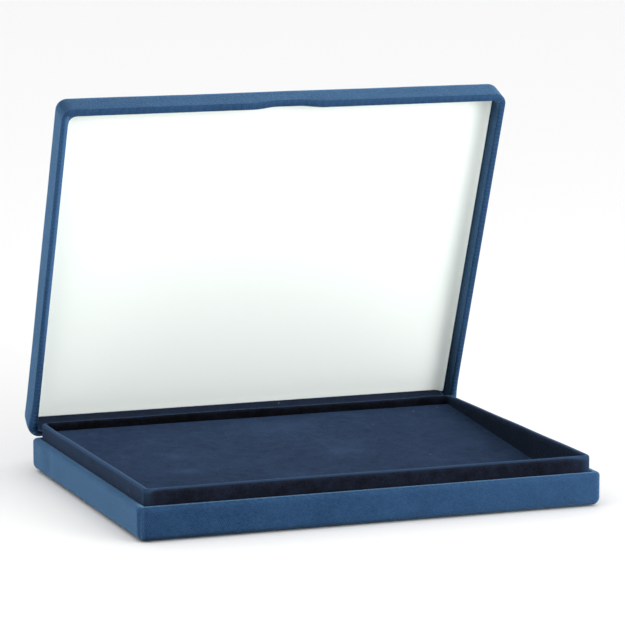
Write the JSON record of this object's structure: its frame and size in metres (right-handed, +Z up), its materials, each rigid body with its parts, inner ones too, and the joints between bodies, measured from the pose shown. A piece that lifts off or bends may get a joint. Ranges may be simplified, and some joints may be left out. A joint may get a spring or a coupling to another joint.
{
  "type": "velvet presentation case",
  "caption": "Flat hinged presentation case: velvet-covered base with raised collar and sloping tray, and a lid with a padded satin lining, open on sprung hinges.",
  "frame": {"origin": "centre of the underside, on the surface that the case stands on", "axes": "+X along the hinge to the viewer's right, +Y to the hinge at the back, +Z up"},
  "size_m": [0.25, 0.2158, 0.2077],
  "materials": {
    "blue_velvet": "short-pile velvet",
    "navy_velvet": "short-pile velvet",
    "white_satin": "smooth satin",
    "underside_cloth": "flat cloth",
    "moulded_core": "moulded, matt",
    "greyboard": "pressed board",
    "foam": "open-cell foam",
    "hinge_steel": "nickel-plated",
    "spring_steel": "blued",
    "rivet_brass": "plain"
  },
  "bodies": {
    "base": {"base_shell": "moulded_core", "base_underside_panel": "underside_cloth", "base_velvet_cover": "blue_velvet", "collar_board": "greyboard", "collar_velvet": "navy_velvet", "floor_board": "greyboard", "floor_foam": "foam", "floor_riser": "greyboard", "floor_velvet": "navy_velvet", "hinge_base_leaf_left": "hinge_steel", "hinge_base_leaf_right": "hinge_steel", "hinge_base_rivets": "rivet_brass", "hinge_pin_left": "hinge_steel", "hinge_pin_right": "hinge_steel", "hinge_spring_left": "spring_steel", "hinge_spring_right": "spring_steel"},
    "lid": {"hinge_lid_leaf_left": "hinge_steel", "hinge_lid_leaf_right": "hinge_steel", "hinge_lid_rivets": "rivet_brass", "lid_lining": "white_satin", "lid_lining_roll_left": "white_satin", "lid_lining_roll_right": "white_satin", "lid_pad_board": "greyboard", "lid_pad_foam": "foam", "lid_shell": "moulded_core", "lid_velvet_cover": "blue_velvet"}
  },
  "joints": [
    {"name": "lid_hinge", "type": "hinge", "parent": "base", "child": "lid", "pos_m": [0, 0.1001, 0.01695], "axis": [-1, 0, 0], "range_deg": [-68, 0]}
  ]
}
